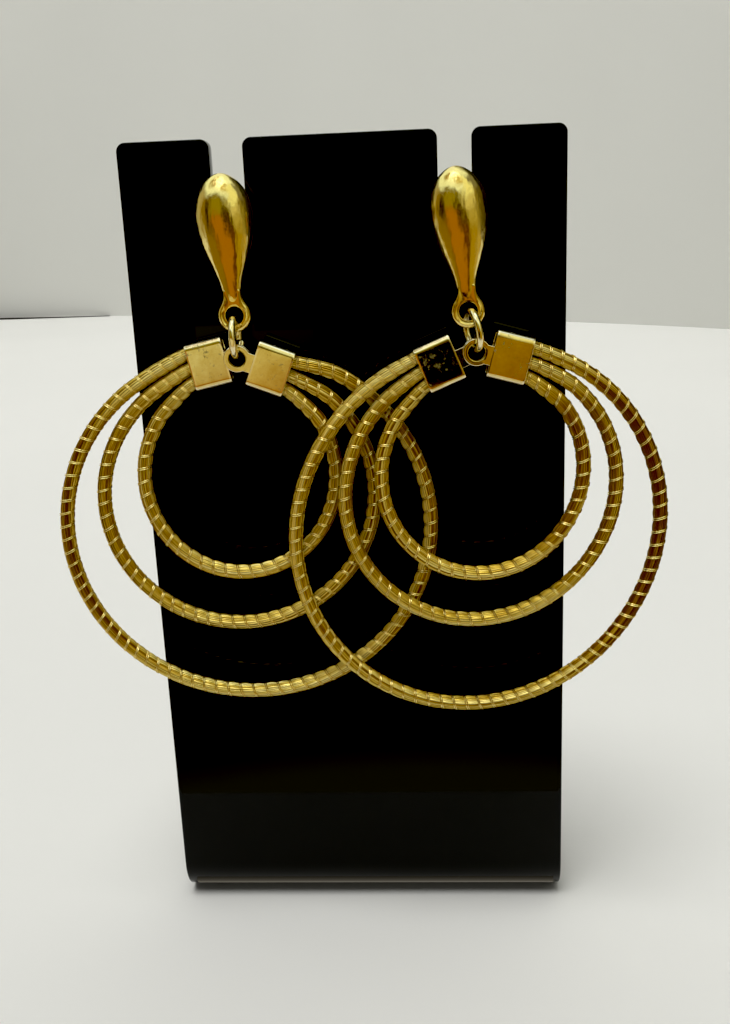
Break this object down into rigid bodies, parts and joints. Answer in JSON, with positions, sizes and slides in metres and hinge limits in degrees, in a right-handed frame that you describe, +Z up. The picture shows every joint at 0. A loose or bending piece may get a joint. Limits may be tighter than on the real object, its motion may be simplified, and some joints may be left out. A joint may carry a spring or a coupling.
{
  "type": "triple hoop earrings on a display stand",
  "caption": "A pair of drop earrings, each with nested hoops of wound golden grass hanging from a teardrop stud, on a plain bent acrylic stand.",
  "frame": {"origin": "middle of the flat underside of the stand's foot", "axes": "+Z up, +X to the right of someone facing the panel, -Y towards that viewer, so the earrings hang on the -Y side and the foot runs back along +Y"},
  "size_m": [0.1146, 0.1065, 0.156],
  "materials": {
    "acrylic": "polished black cast acrylic sheet, heat bent",
    "polished_gold": "polished gold plating",
    "satin_gold": "satin gold plating with bright folds",
    "golden_grass": "bundled shiny golden grass stalks wound with a gold metallic thread"
  },
  "bodies": {
    "stand": {"stand": "acrylic", "left_stud": "polished_gold", "left_ear_nut": "polished_gold", "left_jump_ring": "polished_gold", "right_stud": "polished_gold", "right_ear_nut": "polished_gold", "right_jump_ring": "polished_gold"},
    "left_drop": {"left_rear_clamp": "satin_gold", "left_front_clamp": "satin_gold", "left_outer_hoop": "golden_grass", "left_middle_hoop": "golden_grass", "left_inner_hoop": "golden_grass"},
    "right_drop": {"right_rear_clamp": "satin_gold", "right_front_clamp": "satin_gold", "right_outer_hoop": "golden_grass", "right_middle_hoop": "golden_grass", "right_inner_hoop": "golden_grass"}
  },
  "joints": [
    {"name": "left_sway", "type": "hinge", "parent": "stand", "child": "left_drop", "pos_m": [-0.01985, -0.0563, 0.1182], "axis": [0.0523, -0.9986, 0], "range_deg": [-20, 20]},
    {"name": "right_sway", "type": "hinge", "parent": "stand", "child": "right_drop", "pos_m": [0.0233, -0.0581, 0.1182], "axis": [0.0523, -0.9986, 0], "range_deg": [-20, 20]}
  ]
}
